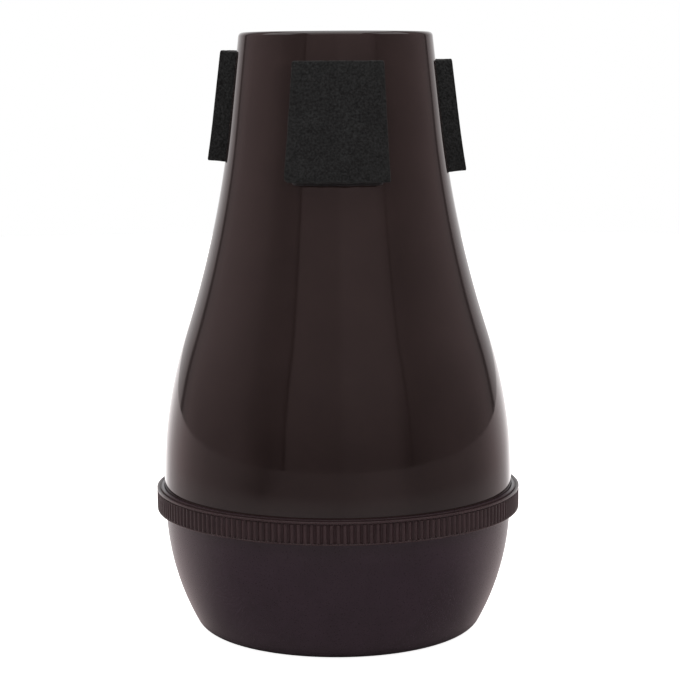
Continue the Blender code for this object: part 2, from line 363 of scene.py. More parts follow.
def moulded_gloss_abs(colour):
    """ABS from a polished mould: a mirror skin with a slow ripple, dust-fine handling marks, and painted
    light that makes the foot paler next to the band."""
    material, tree, place = new_material("moulded_gloss_abs")
    shade, _ = mottled(tree, place, colour, GLOSS_PATCH, 0.9, 1.12)
    height = add_node(tree, "ShaderNodeSeparateXYZ", {"Vector": place}).outputs["Z"]
    # Painted light: just above the band the foot's colour is made several times paler
    foot = {
        "Value": height,
        "From Min": PAINTED_LIGHT_TOP_Z + PAINTED_LIGHT_FADE,
        "From Max": PAINTED_LIGHT_TOP_Z,
        "To Min": 1.0,
        "To Max": PAINTED_LIGHT_FACTOR,
    }
    pale_places = add_node(tree, "ShaderNodeMapRange", foot)
    marks = add_node(tree, "ShaderNodeTexNoise", {"Vector": place, "Scale": 1.0 / GLOSS_MARK, "Detail": 4.0})
    polish = {"Value": marks, **NOISE_SPAN, "To Min": 0.035, "To Max": 0.07}
    slow = add_node(tree, "ShaderNodeTexNoise", {"Vector": place, "Scale": 1.0 / GLOSS_RIPPLE, "Detail": 1.0})
    ripple = add_node(tree, "ShaderNodeBump", {"Height": slow, "Distance": 0.05 * MM, "Strength": 0.35})
    scuff = {"Height": marks, "Distance": 0.004 * MM, "Strength": 0.25, "Normal": ripple}
    skin = {
        "Base Color": add_node(tree, "ShaderNodeHueSaturation", {"Color": shade, "Value": pale_places}),
        "Roughness": add_node(tree, "ShaderNodeMapRange", polish),
        "IOR": 1.5,
        "Normal": add_node(tree, "ShaderNodeBump", scuff),
    }
    add_node(tree, "ShaderNodeOutputMaterial", {"Surface": add_node(tree, "ShaderNodeBsdfPrincipled", skin)})
    return material


def moulded_satin_abs(colour):
    """ABS from a fine eroded mould: an even satin that spreads the light into a broad sheen."""
    material, tree, place = new_material("moulded_satin_abs")
    shade, _ = mottled(tree, place, colour, SATIN_PATCH, 0.92, 1.1)
    fine = add_node(tree, "ShaderNodeTexNoise", {"Vector": place, "Scale": 1.0 / SATIN_GRAIN, "Detail": 3.0})
    satin = {"Value": fine, **NOISE_SPAN, "To Min": 0.26, "To Max": 0.34}
    skin = {
        "Base Color": shade,
        "Roughness": add_node(tree, "ShaderNodeMapRange", satin),
        "IOR": 1.5,
        "Normal": add_node(tree, "ShaderNodeBump", {"Height": fine, "Distance": 0.012 * MM, "Strength": 0.5}),
    }
    add_node(tree, "ShaderNodeOutputMaterial", {"Surface": add_node(tree, "ShaderNodeBsdfPrincipled", skin)})
    return material


def moulded_ribbed_abs(colour):
    """ABS ribs, rubbed smoother on their crests, with painted shade that darkens the grooves between them."""
    material, tree, place = new_material("moulded_ribbed_abs")
    shade, _ = mottled(tree, place, colour, RIBBED_PATCH, 0.9, 1.1)
    level = add_node(tree, "ShaderNodeVectorMath", {0: place, 1: (1.0, 1.0, 0.0)}, operation="MULTIPLY")
    radius = add_node(tree, "ShaderNodeVectorMath", {0: level}, operation="LENGTH").outputs["Value"]
    height = add_node(tree, "ShaderNodeSeparateXYZ", {"Vector": place}).outputs["Z"]
    crest = RING_BOX[1].x
    # Painted shade: the colour is darkened where the surface lies below the crests, in the grooves, the line
    # and the stepped top
    proud = {"Value": radius, "From Min": crest - 0.5 * MM, "From Max": crest - 0.05 * MM}
    below = {"Value": height, "From Min": RIB_LOW + RIB_RUN_OUT, "From Max": RIB_LOW}
    pale_places = {0: add_node(tree, "ShaderNodeMapRange", proud), 1: add_node(tree, "ShaderNodeMapRange", below)}
    wear_and_painted_shade = add_node(tree, "ShaderNodeMath", pale_places, operation="MAXIMUM")
    painted_groove_shade = add_node(tree, "ShaderNodeMapRange", {"Value": wear_and_painted_shade, "To Min": 0.85, "To Max": 1.0})
    fine = add_node(tree, "ShaderNodeTexNoise", {"Vector": place, "Scale": 1.0 / RIBBED_GRAIN, "Detail": 3.0})
    skin = {
        "Base Color": add_node(tree, "ShaderNodeHueSaturation", {"Color": shade, "Value": painted_groove_shade}),
        "Roughness": add_node(tree, "ShaderNodeMapRange", {"Value": wear_and_painted_shade, "To Min": 0.38, "To Max": 0.27}),
        "IOR": 1.5,
        "Specular IOR Level": 0.35,
        "Normal": add_node(tree, "ShaderNodeBump", {"Height": fine, "Distance": 0.01 * MM, "Strength": 0.4}),
    }
    add_node(tree, "ShaderNodeOutputMaterial", {"Surface": add_node(tree, "ShaderNodeBsdfPrincipled", skin)})
    return material


def closed_cell_foam(colour):
    """Closed-cell foam: matt, with open cut cells about 0.5 mm across that speckle it, and with painted light
    that makes the sides that the knife cut paler than its outer face."""
    material, tree, place = new_material("closed_cell_foam")
    level = add_node(tree, "ShaderNodeVectorMath", {0: place, 1: (1.0, 1.0, 0.0)}, operation="MULTIPLY")
    outward = add_node(tree, "ShaderNodeVectorMath", {0: level}, operation="NORMALIZE")
    surface = add_node(tree, "ShaderNodeTexCoord").outputs["Normal"]
    facing = add_node(tree, "ShaderNodeVectorMath", {0: outward, 1: surface}, operation="DOT_PRODUCT")
    # Painted light: faces that turn away from outward, the sides, are made paler
    sides = {"Value": facing.outputs["Value"], "From Min": 0.8, "From Max": 0.4, "To Min": 1.0, "To Max": 1.4}
    cut = add_node(tree, "ShaderNodeMapRange", sides)
    cells = add_node(tree, "ShaderNodeTexVoronoi", {"Vector": place, "Scale": 1.0 / FOAM_CELL})
    grains = {"Vector": place, "Scale": 1.0 / FOAM_CELL, "Detail": 3.0, "Roughness": 0.6}
    speck = add_node(tree, "ShaderNodeTexNoise", grains)
    share = add_node(tree, "ShaderNodeMapRange", {"Value": speck, "From Min": 0.35, "From Max": 0.68})
    shades = {0: share, 6: shaded(colour, 0.35), 7: shaded(colour, 1.8)}
    speckled = add_node(tree, "ShaderNodeMix", shades, data_type="RGBA").outputs[2]
    patch = add_node(tree, "ShaderNodeTexNoise", {"Vector": place, "Scale": 1.0 / FOAM_PATCH})
    patches = {"Value": patch, **NOISE_SPAN, "To Min": 0.88, "To Max": 1.15}
    both = {0: add_node(tree, "ShaderNodeMapRange", patches), 1: cut}
    tone = add_node(tree, "ShaderNodeMath", both, operation="MULTIPLY")
    pits = add_node(tree, "ShaderNodeBump", {"Height": cells, "Distance": 0.22 * MM, "Strength": 0.6})
    nap = {"Height": speck, "Distance": 0.15 * MM, "Strength": 0.5, "Normal": pits}
    skin = {
        "Base Color": add_node(tree, "ShaderNodeHueSaturation", {"Color": speckled, "Value": tone}),
        "Roughness": 0.92,
        "Specular IOR Level": 0.15,
        "Sheen Weight": 0.03,
        "Sheen Roughness": 0.6,
        "Normal": add_node(tree, "ShaderNodeBump", nap),
    }
    add_node(tree, "ShaderNodeOutputMaterial", {"Surface": add_node(tree, "ShaderNodeBsdfPrincipled", skin)})
    return material


def adhesive_film(colour):
    """Acrylic adhesive film: dark, a little shiny at its cut edge, with small trapped specks."""
    material, tree, place = new_material("adhesive_film")
    shade, share = mottled(tree, place, colour, FILM_SPECK, 0.8, 1.4)
    skin = {
        "Base Color": shade,
        "Roughness": add_node(tree, "ShaderNodeMapRange", {"Value": share, "To Min": 0.35, "To Max": 0.6}),
    }
    add_node(tree, "ShaderNodeOutputMaterial", {"Surface": add_node(tree, "ShaderNodeBsdfPrincipled", skin)})
    return material


def washer_rubber(colour):
    """Die-cut rubber sheet: matt black with a faint bloom."""
    material, tree, place = new_material("washer_rubber")
    bloom, _ = mottled(tree, place, colour, RUBBER_BLOOM, 1.0, 1.7, detail=3.0)
    fine = add_node(tree, "ShaderNodeTexNoise", {"Vector": place, "Scale": 1.0 / RUBBER_GRAIN})
    skin = {
        "Base Color": bloom,
        "Roughness": 0.75,
        "Normal": add_node(tree, "ShaderNodeBump", {"Height": fine, "Distance": 0.01 * MM, "Strength": 0.5}),
    }
    add_node(tree, "ShaderNodeOutputMaterial", {"Surface": add_node(tree, "ShaderNodeBsdfPrincipled", skin)})
    return material


# Outlines

def waist_end():
    """Height at which the hollow waist meets the straight taper."""
    start = (WAIST_Z - BELLY_Z) / BELLY_ARC
    return WAIST_Z + WAIST_ARC * (start - math.sin(TAPER_ANGLE))


TAPER_Z = waist_end()


def cone_slope(z):
    """Angle by which the cone's outside leans in from upright at a height."""
    if z <= BELLY_Z:
        return 0.0
    if z <= WAIST_Z:
        return math.asin((z - BELLY_Z) / BELLY_ARC)
    if z <= TAPER_Z:
        return math.asin((WAIST_Z - BELLY_Z) / BELLY_ARC - (z - WAIST_Z) / WAIST_ARC)
    return TAPER_ANGLE


def cone_radius(z):
    """Outer radius of the cone at a height."""
    if z <= WAIST_Z:
        return FOOT_RADIUS - BELLY_ARC * (1.0 - math.cos(cone_slope(z)))
    if z <= TAPER_Z:
        return cone_radius(WAIST_Z) - WAIST_ARC * (math.cos(cone_slope(z)) - math.cos(cone_slope(WAIST_Z)))
    return cone_radius(TAPER_Z) - (z - TAPER_Z) * math.tan(TAPER_ANGLE)


def in_wall(z, depth):
    """The outside point at height z, moved into the wall by depth. A negative depth stands off it."""
    slope = cone_slope(z)
    return cone_radius(z) - depth * math.cos(slope), z - depth * math.sin(slope)


def evenly(low, high, spans):
    """Values from low to high in equal steps, both ends among them."""
    return [low + (high - low) * i / spans for i in range(spans + 1)]


def arc(centre, radius, start, end, spans):
    """Points of (radius, height) on an arc, angles in radians from the outward horizontal."""
    angles = evenly(start, end, spans)
    return [(centre[0] + radius * math.cos(a), centre[1] + radius * math.sin(a)) for a in angles]


def rounded(points, radius, spans=4):
    """An open outline whose inner corners are cut to small arcs of the given radius."""
    made = [points[0]]
    for before, corner, after in zip(points, points[1:], points[2:]):
        a = Vector(before) - Vector(corner)
        b = Vector(after) - Vector(corner)
        half = a.angle(b) / 2
        reach = min(radius / math.tan(half), 0.45 * a.length, 0.45 * b.length)
        start = Vector(corner) + a.normalized() * reach
        end = Vector(corner) + b.normalized() * reach
        for i in range(spans + 1):
            t = i / spans
            point = start.lerp(Vector(corner), t).lerp(Vector(corner).lerp(end, t), t)
            made.append(tuple(point))
    made.append(points[-1])
    return made


def ridge(z, angle, low, turns):
    """Height of the thread's round ridge over the wall at a height and an angle."""
    best = 0.0
    for whole in range(-1, 3):
        turn = angle / (2.0 * math.pi) + whole
        if not 0.0 <= turn <= turns:
            continue
        off = abs(z - low - THREAD_PITCH * turn) / RIDGE_HALF_WIDTH
        if off < 1.0:
            run_out = min(1.0, turn / RIDGE_RUN_OUT_TURNS, (turns - turn) / RIDGE_RUN_OUT_TURNS)
            best = max(best, THREAD_DEPTH * run_out * (1.0 - off * off) ** RIDGE_FULLNESS)
    return best


# Meshes

def turned(name, rows, columns, shape=None, closed=True):
    """A surface turned round Z from (radius, height) rows. Rows on the axis become one point.
    Shape may change a point's radius and height by its row's values and its angle."""
    points = []
    rings = []
    for r, z in rows:
        if r == 0.0:
            rings.append([len(points)])
            points.append((0.0, 0.0, z))
            continue
        ring = []
        for i in range(columns):
            angle = 2.0 * math.pi * i / columns
            pr, pz = shape(r, z, angle) if shape else (r, z)
            ring.append(len(points))
            points.append((pr * math.cos(angle), pr * math.sin(angle), pz))
        rings.append(ring)
    faces = []
    pairs = list(zip(rings, rings[1:]))
    if closed:
        pairs.append((rings[-1], rings[0]))
    for lower, upper in pairs:
        for i in range(columns):
            j = (i + 1) % columns
            if len(lower) == 1:
                faces.append((lower[0], upper[j], upper[i]))
            elif len(upper) == 1:
                faces.append((lower[i], lower[j], upper[0]))
            else:
                faces.append((lower[i], lower[j], upper[j], upper[i]))
    return made_mesh(name, points, faces)


def made_mesh(name, points, faces, sharp=35.0):
    """A smooth-shaded mesh object, sharp at edges steeper than an angle."""
    mesh = bpy.data.meshes.new(name)
    mesh.from_pydata(points, [], faces)
    mesh.validate()
    mesh.update()
    made = bpy.data.objects.new(name, mesh)
    bpy.context.scene.collection.objects.link(made)
    mesh.shade_smooth()
    mesh.set_sharp_from_angle(angle=math.radians(sharp))
    return made


def outwards(made):
    """Turns a closed mesh's faces outwards if they look in."""
    volume = 0.0
    for face in made.data.polygons:
        corners = [made.data.vertices[i].co for i in face.vertices]
        for b, c in zip(corners[1:], corners[2:]):
            volume += corners[0].dot(b.cross(c))
    if volume < 0.0:
        made.data.flip_normals()


def dress(made, material, body, node):
    """Turns a piece's faces outwards, gives it its finish and its body, and hides the CAD node that it stands
    for.
    """
    outwards(made)
    made.data.materials.append(material)
    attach(made, body)
    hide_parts(node)


# Pieces

class MUTE_OT_cone(bpy.types.Operator):
    """Builds the gloss cone with its round rim, foot, spigot and thread"""

    bl_idname = "mute.cone"
    bl_label = "Cone"

    def execute(self, context):
        shape = context.scene.mute_shape
        outer = RIM_OUTER_ROUND
        inner_round = WALL - outer
        rim_z = HEIGHT - outer + outer * math.sin(TAPER_ANGLE)
        rim_inside_z = HEIGHT - inner_round + (WALL - inner_round) * math.sin(TAPER_ANGLE)
        outside = [in_wall(z, 0.0) for z in reversed(evenly(BELLY_Z, rim_z, 64))]
        corner = [(FOOT_RADIUS, FOOT_Z + FOOT_UPRIGHT), (FOOT_RADIUS, FOOT_Z), (SPIGOT_RADIUS, FOOT_Z)]
        foot = rounded(corner, FOOT_EDGE)
        thread_rows = evenly(SPIGOT_LOW + SPIGOT_CHAMFER[1], FOOT_Z - 0.2 * MM, THREAD_ROWS)
        spigot = [(SPIGOT_RADIUS, z) for z in reversed(thread_rows)]
        lip = [
            (SPIGOT_RADIUS - SPIGOT_CHAMFER[0], SPIGOT_LOW),
            (SPIGOT_INNER + SPIGOT_INNER_CHAMFER, SPIGOT_LOW),
        ]
        inner = [(SPIGOT_INNER, SPIGOT_LOW + SPIGOT_INNER_CHAMFER), (SPIGOT_INNER, FOOT_Z + WALL)]
        inside = [in_wall(z, WALL) for z in evenly(BELLY_Z + 2 * WALL, rim_inside_z, 30)]
        top_r = in_wall(rim_z, outer)[0]
        rim = arc((top_r, HEIGHT - inner_round), inner_round, math.pi + TAPER_ANGLE, math.pi / 2, 6)[1:]
        rim += arc((top_r, HEIGHT - outer), outer, math.pi / 2, TAPER_ANGLE, 10)[1:-1]

        def threaded(r, z, angle):
            if r == SPIGOT_RADIUS and z < FOOT_Z:
                return r + ridge(z, angle, MALE_LOW, MALE_TURNS), z
            return r, z

        rows = outside + foot + spigot + lip + inner + inside + rim
        made = turned("cone_shell", rows, shape.columns, threaded)
        dress(made, moulded_gloss_abs(context.scene.mute_colours.cone), "cone", "neck_cone")
        return {"FINISHED"}


class MUTE_OT_cup(bpy.types.Operator):
    """Builds the satin cup with its base, recess, socket and thread"""

    bl_idname = "mute.cup"
    bl_label = "Cup"

    def execute(self, context):
        shape = context.scene.mute_shape
        centre = (SIDE_WIDEST - SIDE_ARC, SIDE_WIDEST_Z)

        def side_angle(z, radius):
            return math.asin((z - SIDE_WIDEST_Z) / radius)

        def edge(low, radius, side_radius):
            drop = SIDE_WIDEST_Z - low - radius
            reach = math.sqrt((side_radius - radius) ** 2 - drop**2)
            return (centre[0] + reach, low + radius), -math.atan2(drop, reach)

        down = math.radians(-90)
        step_z = RING_BOX[0].z + CUP_STEP
        base_centre, base_angle = edge(0.0, BASE_EDGE, SIDE_ARC)
        inner_arc = SIDE_ARC - WALL
        floor_centre, floor_angle = edge(CUP_FLOOR_Z, BASE_EDGE - WALL, inner_arc)
        mouth = FOOT_RADIUS + CUP_MOUTH_GAP
        rows = [(0.0, CUP_FLOOR_Z)]
        rows += [(r, CUP_FLOOR_Z) for r in evenly(4 * MM, floor_centre[0] - 2 * MM, 8)]
        rows += arc(floor_centre, BASE_EDGE - WALL, down, floor_angle, 8)
        rows += arc(centre, inner_arc, floor_angle, side_angle(BORE_LOW - 0.5 * MM, inner_arc), 16)[1:]
        rows += [(BORE_RADIUS, z) for z in evenly(BORE_LOW, SEAT_Z - 0.2 * MM, THREAD_ROWS)]
        rim = [
            (BORE_RADIUS, SEAT_Z - 0.1 * MM),
            (BORE_RADIUS, SEAT_Z),
            (mouth, SEAT_Z),
            (mouth, SOCKET_TOP),
            (SOCKET_RADIUS, SOCKET_TOP),
            (SOCKET_RADIUS, step_z),
            (centre[0] + SIDE_ARC * math.cos(side_angle(step_z, SIDE_ARC)), step_z),
        ]
        rows += rounded(rim, CUP_EDGE)[1:]
        rows += arc(centre, SIDE_ARC, side_angle(step_z, SIDE_ARC), base_angle, 40)[1:]
        rows += arc(base_centre, BASE_EDGE, base_angle, down, 14)[1:]
        base = [
            (base_centre[0] - 1 * MM, 0.0),
            (RECESS_RADIUS, 0.0),
            (RECESS_RADIUS - RECESS_DEPTH, RECESS_DEPTH),
            (RECESS_RADIUS - 4 * MM, RECESS_DEPTH),
        ]
        rows += rounded(base, RECESS_EDGE)
        rows += [(r, RECESS_DEPTH) for r in reversed(evenly(4 * MM, RECESS_RADIUS - 8 * MM, 4))]
        rows += [(0.0, RECESS_DEPTH)]

        def threaded(r, z, angle):
            if r == BORE_RADIUS:
                return r - ridge(z, angle, FEMALE_LOW, FEMALE_TURNS), z
            return r, z

        made = turned("cup_shell", rows, shape.columns, threaded, closed=False)
        dress(made, moulded_satin_abs(context.scene.mute_colours.cup), "cup", "end_cup")
        return {"FINISHED"}


class MUTE_OT_band(bpy.types.Operator):
    """Builds the grip band: its stepped top, the thin line over its round-topped ribs, and its lip"""

    bl_idname = "mute.band"
    bl_label = "Grip band"

    def execute(self, context):
        shape = context.scene.mute_shape
        low, top, crest = RING_BOX[0].z, RING_BOX[1].z, RING_BOX[1].x
        bore = SOCKET_RADIUS + BONDED_GAP
        lip = (RIB_LOW - low) / 2
        lip_r = crest - LIP_INSET - lip
        rim = bore + BAND_RIM_WIDTH
        groove = rim + BAND_GROOVE_WIDTH
        shoulder = (crest - BAND_SHOULDER_ROUND, BAND_SHOULDER_Z - BAND_SHOULDER_ROUND)
        step = [
            (bore, low + 2 * MM),
            (bore, top),
            (rim, top),
            (rim, BAND_GROOVE_Z),
            (groove, BAND_GROOVE_Z),
            (groove, BAND_SHOULDER_Z),
            (shoulder[0], BAND_SHOULDER_Z),
        ]
        rows = rounded(step, BAND_EDGE)[:-1]
        rows += arc(shoulder, BAND_SHOULDER_ROUND, math.radians(90), 0.0, 8)
        line = [
            (crest, shoulder[1] - 0.1 * MM),
            (crest, BAND_LINE_TOP),
            (crest - BAND_LINE_DEPTH, BAND_LINE_TOP),
            (crest - BAND_LINE_DEPTH, RIB_TOP),
            (crest, RIB_TOP),
        ]
        rows += rounded(line, BAND_EDGE)[:-1]
        rows += [(crest, RIB_TOP - RIB_RUN_OUT)]
        rows += [(crest, z) for z in reversed(evenly(RIB_LOW + RIB_RUN_OUT, RIB_TOP - RIB_RUN_OUT, 6))][1:]
        rows += [(crest - LIP_NOTCH, RIB_LOW)]
        rows += arc((lip_r, low + lip), lip, math.radians(60), math.radians(-90), 8)
        rows += rounded([(lip_r - LIP_EDGE, low), (bore, low), (bore, low + 1 * MM)], LIP_EDGE, 3)

        def ribbed(r, z, angle):
            if not RIB_LOW < z < RIB_TOP:
                return r, z
            run_out = min(1.0, (RIB_TOP - z) / RIB_RUN_OUT, (z - RIB_LOW) / RIB_RUN_OUT)
            wave = 0.5 - 0.5 * math.cos(angle * shape.rib_count)
            depth = shape.rib_depth * wave**RIB_ROUNDNESS * run_out
            return min(r, crest - depth), z

        made = turned("grip_band", rows, RIB_COLUMNS * shape.rib_count, ribbed)
        dress(made, moulded_ribbed_abs(context.scene.mute_colours.band), "cup", "knurled_ring")
        return {"FINISHED"}


class MUTE_OT_washer(bpy.types.Operator):
    """Builds the thin washer between the cone's foot and the cup's seat"""

    bl_idname = "mute.washer"
    bl_label = "Washer"

    def execute(self, context):
        low, top, outer = WASHER_BOX[0].z, WASHER_BOX[1].z, WASHER_BOX[1].x
        inner = BORE_RADIUS - WASHER_LAP
        mid = (low + top) / 2
        loop = [(inner, mid), (inner, top), (outer, top), (outer, low), (inner, low)]
        loop += [(inner, mid - 0.05 * MM)]
        made = turned("seal_washer", rounded(loop, WASHER_EDGE, 3), context.scene.mute_shape.columns)
        rubber = washer_rubber(context.scene.mute_colours.washer)
        dress(made, rubber, "washer", "sealing_washer")
        return {"FINISHED"}


def pad_outline(low, high, corner, cuts, widths, seed, ragged):
    """The cut outline of a pad as (angle, height) points, with rounded corners and an uneven lower edge.
    Cuts are the sizes in mm of the lower left and lower right corners, widths the shares at low and high."""
    middle = cone_radius((low + high) / 2) + PAD_OUTSIDE
    half = PAD_HALF_ANGLE * middle
    corners = [
        (Vector((-half * widths[0], low)), cuts[0] * MM),
        (Vector((half * widths[0], low)), cuts[1] * MM),
        (Vector((half * widths[1], high)), corner),
        (Vector((-half * widths[1], high)), corner),
    ]
    points = []
    for i, (at, size) in enumerate(corners):
        before = (corners[i - 1][0] - at).normalized()
        after_corner = corners[(i + 1) % 4]
        after = (after_corner[0] - at).normalized()
        for k in range(7):
            t = k / 6
            points.append((at + before * size).lerp(at, t).lerp(at.lerp(at + after * size, t), t))
        start = at + after * size
        end = after_corner[0] - after * after_corner[1]
        steps = max(2, round((end - start).length / CUT_STEP))
        points += [start.lerp(end, k / steps) for k in range(1, steps)]
    made = []
    centre = Vector((0.0, (low + high) / 2))
    for point in points:
        wave = noise.noise(Vector((point.x * CUT_WAVES[0], point.y * CUT_WAVES[0], seed)))
        nick = noise.noise(Vector((point.x * CUT_NICKS[0], point.y * CUT_NICKS[0], seed + 9.0)))
        lower = 1.0 if point.y < low + CUT_LOWER else CUT_CALM
        shift = (CUT_WAVES[1] * wave + CUT_NICKS[1] * nick) * MM * lower * ragged
        point = point + (point - centre).normalized() * shift
        made.append((point.x / middle, point.y))
    return made


def wrapped_block(name, outline, centre_z, lean, azimuth, layers):
    """A block wrapped on the cone: its outline is drawn in by each layer's inset at its standoff."""
    points = []
    faces = []
    count = len(outline)
    reach = max(abs(a) for a, _ in outline)
    tall = max(abs(z - centre_z) for _, z in outline)
    turn = math.radians(azimuth)
    tilt = math.tan(math.radians(lean))
    radius = cone_radius(centre_z) + PAD_OUTSIDE

    def place(angle, z, standoff):
        angle = angle + turn - tilt * (z - centre_z) / radius
        share = standoff / PAD_OUTSIDE * (centre_z - z) / tall
        r, height = in_wall(z - PAD_OVERHANG * max(0.0, share), -standoff - PAD_SWELL * share)
        return (r * math.cos(angle), r * math.sin(angle), height)

    def ring_at(inset, standoff, share=1.0):
        ring = []
        for angle, z in outline:
            a = angle * (1.0 - inset / (reach * radius)) * share
            h = centre_z + (z - centre_z) * (1.0 - inset / tall) * share
            ring.append(len(points))
            points.append(place(a, h, standoff))
        return ring

    def cap(outer, inset, standoff, flip):
        for share in FACE_RINGS:
            inner = ring_at(inset, standoff, share)
            for i in range(count):
                j = (i + 1) % count
                quad = (outer[i], outer[j], inner[j], inner[i])
                faces.append(tuple(reversed(quad)) if flip else quad)
            outer = inner
        middle = len(points)
        points.append(place(0.0, centre_z, standoff))
        for i in range(count):
            j = (i + 1) % count
            fan = (outer[i], outer[j], middle)
            faces.append(tuple(reversed(fan)) if flip else fan)

    rings = [ring_at(inset, standoff) for inset, standoff in layers]
    for lower, upper in zip(rings, rings[1:]):
        for i in range(count):
            j = (i + 1) % count
            faces.append((lower[i], lower[j], upper[j], upper[i]))
    cap(rings[-1], *layers[-1], flip=False)
    cap(rings[0], *layers[0], flip=True)
    return made_mesh(name, points, faces, sharp=50.0)


class MUTE_OT_pads(bpy.types.Operator):
    """Builds the three foam pads and the adhesive film under each"""

    bl_idname = "mute.pads"
    bl_label = "Foam pads"

    def execute(self, context):
        shape = context.scene.mute_shape
        colours = context.scene.mute_colours
        foam = closed_cell_foam(colours.foam)
        film = adhesive_film(colours.film)
        for seed, (side, (azimuth, lean, cuts, widths, film_shows)) in enumerate(PAD_PLACES.items()):
            pad_low, pad_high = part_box(f"pad_{side}")
            low = pad_low.z - CAD_FOAM_STANDOFF * math.sin(TAPER_ANGLE)
            high = pad_high.z - PAD_OUTSIDE * math.sin(TAPER_ANGLE)
            cut = (shape.pad_corner, cuts, widths, 3.0 * seed)
            outline = pad_outline(low, high, *cut, ragged=1.0)
            centre_z = (low + high) / 2
            edge = shape.pad_edge
            tall = PAD_OUTSIDE - PAD_STANDOFF
            layers = [(inset * MM, PAD_STANDOFF + share * tall) for inset, share in FOAM_SIDES]
            layers += [(FOAM_BROW, PAD_OUTSIDE - edge)]
            layers += [
                (edge * (1.0 - math.cos(a)), PAD_OUTSIDE - edge + edge * math.sin(a))
                for a in evenly(math.radians(20), math.radians(90), 4)
            ]
            pad = wrapped_block(f"foam_pad_{side}", outline, centre_z, lean, azimuth, layers)
            dress(pad, foam, "cone", f"pad_{side}")
            film_low = low - film_shows
            film_z = (film_low + high) / 2
            film_outline = pad_outline(film_low, high, *cut, ragged=0.5)
            film_layers = [(0.0, FILM_STANDOFF), (0.0, FILM_OUTSIDE - FILM_ROUND[1])]
            film_layers += [(FILM_ROUND[0], FILM_OUTSIDE)]
            sheet = wrapped_block(f"adhesive_{side}", film_outline, film_z, lean, azimuth, film_layers)
            dress(sheet, film, "cone", f"pad_adhesive_{side}")
        return {"FINISHED"}


# Stage

def lamp(name, kind, azimuth, elevation, distance, height):
    """A lamp at a distance, turned to a height on the mute's axis. Azimuth 0 is on the camera's side."""
    a, e = math.radians(azimuth), math.radians(elevation)
    back = Vector((math.sin(a) * math.cos(e), -math.cos(a) * math.cos(e), math.sin(e)))
    made = bpy.data.objects.new(name, bpy.data.lights.new(name, kind))
    made.location = Vector((0.0, 0.0, height)) + back * distance
    made.rotation_mode = "QUATERNION"
    made.rotation_quaternion = back.to_track_quat("Z", "Y")
    made.visible_camera = False
    bpy.context.scene.collection.objects.link(made)
    return made


def soft_panel(name, azimuth, elevation, width, height, radiance):
    """A rectangular soft light on the middle of the mute."""
    light = lamp(name, "AREA", azimuth, elevation, KEY_DISTANCE, HEIGHT / 2).data
    light.shape = "RECTANGLE"
    light.size = width
    light.size_y = height
    light.energy = radiance * math.pi * width * height


def neck_light(name, azimuth, elevation, distance, height, beam, watts, radius):
    """A soft-edged spot that lifts the neck and that reflections do not see."""
    spot = lamp(name, "SPOT", azimuth, elevation, distance, height)
    spot.visible_glossy = False
    spot.data.energy = watts
    spot.data.spot_size = math.radians(beam)
    spot.data.spot_blend = 1.0
    spot.data.shadow_soft_size = radius


def both_sides(levels):
    """Levels given from 0 to 180 degrees, mirrored to run from -180 to 180."""
    return [(-degrees, level) for degrees, level in reversed(levels[1:])] + list(levels)


def levels_round(tree, direction, tables, warmth):
    """One light for each table of (degrees, level), by the angle from the camera's side, with right as plus.
    Warmth is the extra red, which fades out towards the back."""
    towards = add_node(tree, "ShaderNodeMath", {0: direction["Y"], 1: -1.0}, operation="MULTIPLY")
    turn = add_node(tree, "ShaderNodeMath", {0: direction["X"], 1: towards}, operation="ARCTAN2")
    share = add_node(tree, "ShaderNodeMath", {0: turn, 1: 0.5 / math.pi, 2: 0.5}, operation="MULTIPLY_ADD")
    lights = []
    for table in tables:
        ramp = add_node(tree, "ShaderNodeValToRGB", {"Fac": share})
        elements = ramp.color_ramp.elements
        elements.remove(elements[1])
        for i, (degrees, level) in enumerate(table):
            position = 0.5 + degrees / 360.0
            red = level * (1.0 + warmth * min(1.0, (180.0 - abs(degrees)) / WARMTH_FADE) ** 2)
            element = elements.new(position) if i else elements[0]
            element.position = position
            element.color = (red, level, level, 1.0)
        lights.append(ramp)
    return lights


def brighter_left(tree, direction):
    """A factor that makes the left side a little brighter than the right."""
    lean = {0: direction["X"], 1: -LEFT_EXTRA, 2: 1.0}
    return add_node(tree, "ShaderNodeMath", lean, operation="MULTIPLY_ADD")


def studio_surround():
    """White where the camera looks. Reflections and soft light see a dim studio and its lit backdrop."""
    world = bpy.data.worlds.new("studio_surround")
    world.use_nodes = True
    tree = world.node_tree
    tree.nodes.clear()
    place = add_node(tree, "ShaderNodeTexCoord").outputs["Generated"]
    direction = add_node(tree, "ShaderNodeSeparateXYZ", {"Vector": place}).outputs
    tables = (both_sides(STRIP_LEVELS), both_sides(WALL_LEVELS))
    strip, wall = levels_round(tree, direction, tables, WALL_WARMTH)
    seams = levels_round(tree, direction, (SEAMS,), 0.0)[0]
    climb = {"Value": direction["Z"], "From Min": STRIP_LOW, "From Max": STRIP_HIGH}
    rise = add_node(tree, "ShaderNodeMapRange", climb)
    dusk = {"Value": direction["Z"], "From Min": STRIP_HIGH, "To Min": 1.0, "To Max": HIGH_DIM}
    light = add_node(tree, "ShaderNodeMix", {0: rise, 6: strip, 7: wall}, data_type="RGBA").outputs[2]
    sides = {0: seams, 1: brighter_left(tree, direction)}
    lower = add_node(tree, "ShaderNodeMath", sides, operation="MULTIPLY")
    whole = {0: lower, 1: add_node(tree, "ShaderNodeMapRange", dusk)}
    strength = add_node(tree, "ShaderNodeMath", whole, operation="MULTIPLY")
    seen = {
        "Fac": add_node(tree, "ShaderNodeLightPath").outputs["Is Camera Ray"],
        1: add_node(tree, "ShaderNodeBackground", {"Color": light, "Strength": strength}),
        2: add_node(tree, "ShaderNodeBackground", {"Color": WHITE, "Strength": 1.0}),
    }
    add_node(tree, "ShaderNodeOutputWorld", {"Surface": add_node(tree, "ShaderNodeMixShader", seen)})
    return world


